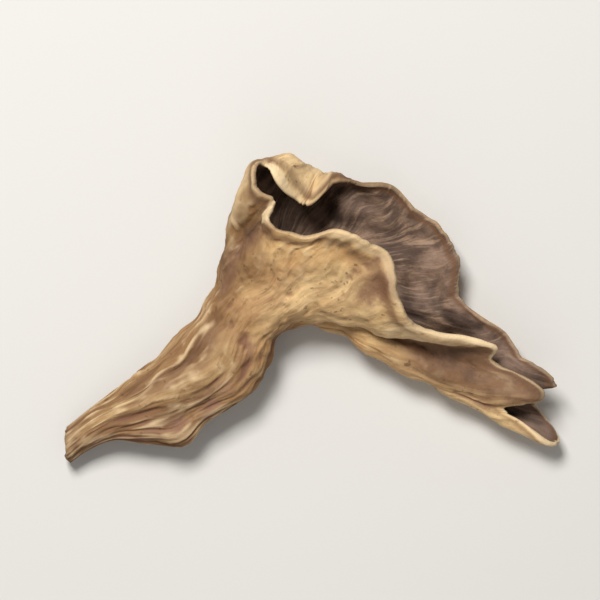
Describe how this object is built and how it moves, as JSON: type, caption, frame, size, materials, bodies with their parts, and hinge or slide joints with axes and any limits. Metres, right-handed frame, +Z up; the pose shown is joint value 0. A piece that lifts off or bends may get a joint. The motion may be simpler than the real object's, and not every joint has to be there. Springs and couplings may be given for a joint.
{
  "type": "black trumpet mushroom",
  "caption": "Dried black trumpet mushroom lying on its side: one thin hollow funnel with a creased stem, a rolled and lobed rim and a long torn side lobe.",
  "frame": {"origin": "middle of the bounding box, on the surface the mushroom lies on", "axes": "+X from the stem's end to the mouth, +Y towards the rolled left lobe, +Z up from the surface"},
  "size_m": [0.0552, 0.0508, 0.016],
  "materials": {
    "flesh": "matt, wrinkled, tan outside and dark brown inside"
  },
  "bodies": {
    "root": {"mushroom": "flesh"}
  },
  "joints": []
}
